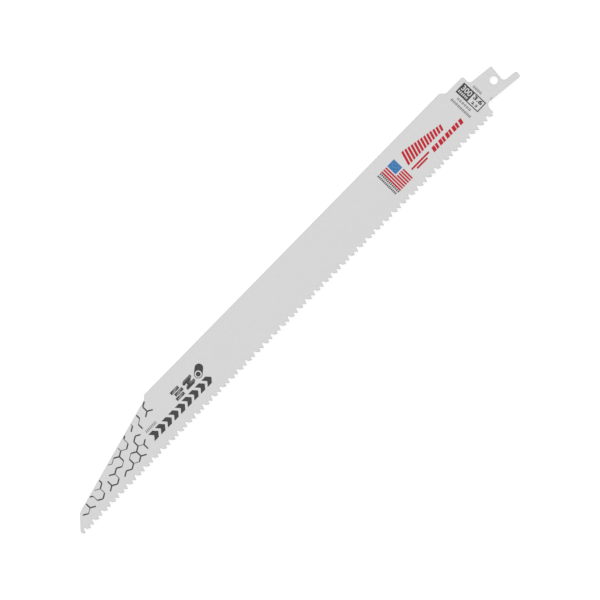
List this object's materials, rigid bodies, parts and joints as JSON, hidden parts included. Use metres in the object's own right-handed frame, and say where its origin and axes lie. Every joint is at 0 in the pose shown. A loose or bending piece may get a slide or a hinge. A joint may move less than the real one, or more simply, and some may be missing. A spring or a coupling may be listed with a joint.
{
  "type": "reciprocating saw blade",
  "caption": "Long straight saw blade with a canted stepped tang, pin hole, tapered nose and variable-pitch set teeth that cut on the pull stroke.",
  "frame": {"origin": "centre of the tang's pin hole, halfway through the strip's thickness", "axes": "+X along the blade toward the end of the tang, +Y toward the back edge, +Z out of the printed face; the teeth are on the -Y edge and the nose is at -X"},
  "size_m": [0.3071, 0.0266, 0.0024],
  "materials": {
    "blade_paint": "light grey satin paint over steel",
    "dark_ink": "thin printed dark grey ink",
    "red_ink": "thin printed red ink",
    "blue_ink": "thin printed blue ink"
  },
  "bodies": {
    "root": {"blade": "blade_paint"}
  },
  "joints": []
}
